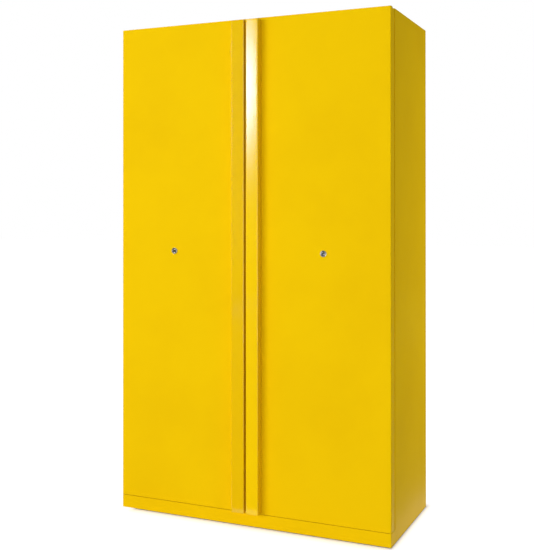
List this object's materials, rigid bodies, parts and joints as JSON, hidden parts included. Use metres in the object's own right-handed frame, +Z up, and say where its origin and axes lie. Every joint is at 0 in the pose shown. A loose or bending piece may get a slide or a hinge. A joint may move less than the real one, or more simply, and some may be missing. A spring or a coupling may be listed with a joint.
{
  "type": "flammable safety cabinet",
  "caption": "Tall two-door fire-rated cabinet in yellow steel with full-height handle strips, round locks, tray shelves, a sump and air spigots on top.",
  "frame": {"origin": "on the floor, in the middle of the cabinet's footprint, handle strips included", "axes": "+Z up, the doors face -Y, +X to the right of someone who looks at the doors"},
  "size_m": [1.11, 0.6078, 2.005],
  "materials": {
    "yellow_paint": "smooth semi-gloss powder coat",
    "grey_paint": "light grey powder coat",
    "liner_board": "melamine-faced board",
    "insulation": "mineral board",
    "zinc_steel": "bright zinc plate",
    "foot_steel": "zinc plate",
    "lock_chrome": "polished nickel",
    "bush_brass": "turned",
    "intumescent": "matt graphite strip",
    "seal_rubber": "soft matt"
  },
  "bodies": {
    "cabinet": {"right_side_panel": "yellow_paint", "left_side_panel": "yellow_paint", "rear_panel": "yellow_paint", "top_panel": "yellow_paint", "base_panel": "yellow_paint", "insulation_boards": "insulation", "side_liners": "liner_board", "rear_liner": "liner_board", "ceiling_liner": "liner_board", "floor_liner": "liner_board", "plinth_cover": "yellow_paint", "hinge_plates": "zinc_steel", "intumescent_strips": "intumescent", "frame_gasket": "seal_rubber", "shelf_uprights": "grey_paint", "shelf_clips": "zinc_steel", "lower_shelf": "grey_paint", "middle_shelf": "grey_paint", "upper_shelf": "grey_paint", "sump_tray": "grey_paint", "sump_grid": "grey_paint", "rear_duct": "grey_paint", "exhaust_plenum": "grey_paint", "duct_spigots": "grey_paint", "earthing_stud": "bush_brass", "rod_keepers": "zinc_steel", "front_bars": "zinc_steel", "foot_brackets": "zinc_steel"},
    "right_door": {"right_door_skin": "yellow_paint", "right_door_core": "insulation", "right_door_back": "yellow_paint", "right_rod_guides": "zinc_steel", "right_handle_strip": "yellow_paint", "right_lock_barrel": "lock_chrome", "right_gearbox": "zinc_steel", "right_hinge_bush": "bush_brass", "right_closer": "zinc_steel"},
    "left_door": {"left_door_skin": "yellow_paint", "left_door_core": "insulation", "left_door_back": "yellow_paint", "left_rod_guides": "zinc_steel", "left_handle_strip": "yellow_paint", "left_lock_barrel": "lock_chrome", "left_gearbox": "zinc_steel", "left_hinge_bush": "bush_brass", "left_closer": "zinc_steel", "meeting_seal": "seal_rubber"},
    "right_lock": {"right_lock_cylinder": "lock_chrome"},
    "right_upper_rod": {"right_top_rod": "zinc_steel"},
    "right_lower_rod": {"right_bottom_rod": "zinc_steel"},
    "left_lock": {"left_lock_cylinder": "lock_chrome"},
    "left_upper_rod": {"left_top_rod": "zinc_steel"},
    "left_lower_rod": {"left_bottom_rod": "zinc_steel"},
    "exhaust_flap": {"exhaust_damper": "zinc_steel"},
    "supply_flap": {"supply_damper": "zinc_steel"},
    "front_left_foot": {"front_left_foot": "foot_steel"},
    "front_right_foot": {"front_right_foot": "foot_steel"},
    "rear_left_foot": {"rear_left_foot": "foot_steel"},
    "rear_right_foot": {"rear_right_foot": "foot_steel"}
  },
  "joints": [
    {"name": "right_door_swing", "type": "hinge", "parent": "cabinet", "child": "right_door", "pos_m": [0.543, -0.226, 1], "axis": [0, 0, 1], "range_deg": [0, 100], "stiffness_Nm_per_rad": 4, "springref_deg": -34.38},
    {"name": "right_lower_rod_travel", "type": "slide", "parent": "right_door", "child": "right_lower_rod", "axis": [0, 0, -1], "range_m": [0, 0.01649]},
    {"name": "right_key_turn", "type": "hinge", "parent": "right_door", "child": "right_lock", "pos_m": [0.302, -0.266, 1.055], "axis": [0, -1, 0], "range_deg": [0, 90]},
    {"name": "right_upper_rod_travel", "type": "slide", "parent": "right_door", "child": "right_upper_rod", "axis": [0, 0, 1], "range_m": [0, 0.0165]},
    {"name": "left_door_swing", "type": "hinge", "parent": "cabinet", "child": "left_door", "pos_m": [-0.543, -0.226, 1], "axis": [0, 0, -1], "range_deg": [0, 100], "stiffness_Nm_per_rad": 4, "springref_deg": -34.38},
    {"name": "left_lower_rod_travel", "type": "slide", "parent": "left_door", "child": "left_lower_rod", "axis": [0, 0, -1], "range_m": [0, 0.01649]},
    {"name": "left_key_turn", "type": "hinge", "parent": "left_door", "child": "left_lock", "pos_m": [-0.316, -0.266, 1.055], "axis": [0, 1, 0], "range_deg": [0, 90]},
    {"name": "left_upper_rod_travel", "type": "slide", "parent": "left_door", "child": "left_upper_rod", "axis": [0, 0, 1], "range_m": [0, 0.0165]},
    {"name": "exhaust_flap_turn", "type": "hinge", "parent": "cabinet", "child": "exhaust_flap", "pos_m": [0, 0.184, 1.915], "axis": [1, 0, 0], "range_deg": [0, 90]},
    {"name": "supply_flap_turn", "type": "hinge", "parent": "cabinet", "child": "supply_flap", "pos_m": [-0.23, 0.184, 1.915], "axis": [1, 0, 0], "range_deg": [0, 90]},
    {"name": "front_left_foot_level", "type": "slide", "parent": "cabinet", "child": "front_left_foot", "axis": [0, 0, -1], "range_m": [0, 0.02]},
    {"name": "front_right_foot_level", "type": "slide", "parent": "cabinet", "child": "front_right_foot", "axis": [0, 0, -1], "range_m": [0, 0.02]},
    {"name": "rear_left_foot_level", "type": "slide", "parent": "cabinet", "child": "rear_left_foot", "axis": [0, 0, -1], "range_m": [0, 0.02]},
    {"name": "rear_right_foot_level", "type": "slide", "parent": "cabinet", "child": "rear_right_foot", "axis": [0, 0, -1], "range_m": [0, 0.02]}
  ],
  "couplings": [
    {"joint": "right_key_turn", "follows": "right_lower_rod_travel", "rad_per_m": 95.238},
    {"joint": "right_upper_rod_travel", "follows": "right_lower_rod_travel", "ratio": 1},
    {"joint": "left_key_turn", "follows": "left_lower_rod_travel", "rad_per_m": 95.238},
    {"joint": "left_upper_rod_travel", "follows": "left_lower_rod_travel", "ratio": 1}
  ]
}
